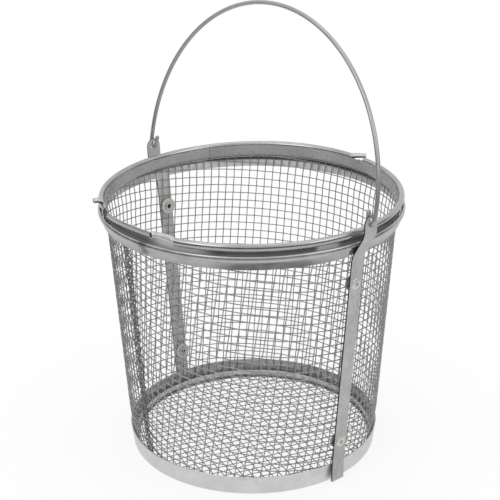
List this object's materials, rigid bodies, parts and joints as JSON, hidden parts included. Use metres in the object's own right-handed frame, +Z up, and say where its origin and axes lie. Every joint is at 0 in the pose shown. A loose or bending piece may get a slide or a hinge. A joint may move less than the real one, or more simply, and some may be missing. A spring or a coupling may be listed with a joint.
{
  "type": "parts washing basket",
  "caption": "Tapered round basket of woven galvanised wire with a rolled sheet rim, flanged base band, riveted straps and a swinging wire bail, for dipping small parts in washing fluid.",
  "frame": {"origin": "centre of the base, on the plane that it stands on", "axes": "+Z up; X close to the line through the two strap eyes that the bail swings in, which is turned 1.1 degrees from it, with the strap that has the skirt's joint beside it on +X; Y across them"},
  "size_m": [0.2495, 0.2353, 0.3388],
  "materials": {
    "zinc_sheet": "satin",
    "zinc_wire": "satin",
    "strap_steel": "satin",
    "rivet_metal": "satin",
    "mandrel_steel": "satin",
    "washer_metal": "satin",
    "bail_wire": "satin"
  },
  "bodies": {
    "basket": {"rim_collar_front": "zinc_sheet", "rim_collar_rear": "zinc_sheet", "rim_collar_short": "zinc_sheet", "rim_skirt": "zinc_sheet", "wall_mesh_panel_1": "zinc_wire", "wall_mesh_panel_2": "zinc_wire", "wall_mesh_panel_3": "zinc_wire", "wall_mesh_panel_4": "zinc_wire", "wall_mesh_panel_5": "zinc_wire", "wall_mesh_panel_6": "zinc_wire", "wall_mesh_panel_7": "zinc_wire", "wall_mesh_panel_8": "zinc_wire", "wall_mesh_panel_9": "zinc_wire", "wall_mesh_panel_10": "zinc_wire", "wall_mesh_panel_11": "zinc_wire", "wall_mesh_panel_12": "zinc_wire", "floor_mesh": "zinc_wire", "base_band": "zinc_sheet", "base_clamp_hoop": "zinc_sheet", "strap_right": "strap_steel", "rivet_right_upper": "rivet_metal", "mandrel_right_upper": "mandrel_steel", "washer_right_upper": "washer_metal", "rivet_right_lower": "rivet_metal", "mandrel_right_lower": "mandrel_steel", "washer_right_lower": "washer_metal", "strap_left": "strap_steel", "rivet_left_upper": "rivet_metal", "mandrel_left_upper": "mandrel_steel", "washer_left_upper": "washer_metal", "rivet_left_lower": "rivet_metal", "mandrel_left_lower": "mandrel_steel", "washer_left_lower": "washer_metal"},
    "bail": {"bail": "bail_wire"}
  },
  "joints": [
    {"name": "bail_swing", "type": "hinge", "parent": "basket", "child": "bail", "pos_m": [0, 0.00168, 0.2086], "axis": [0.9998, -0.0192, 0], "range_deg": [-110.8, 131.2]}
  ]
}
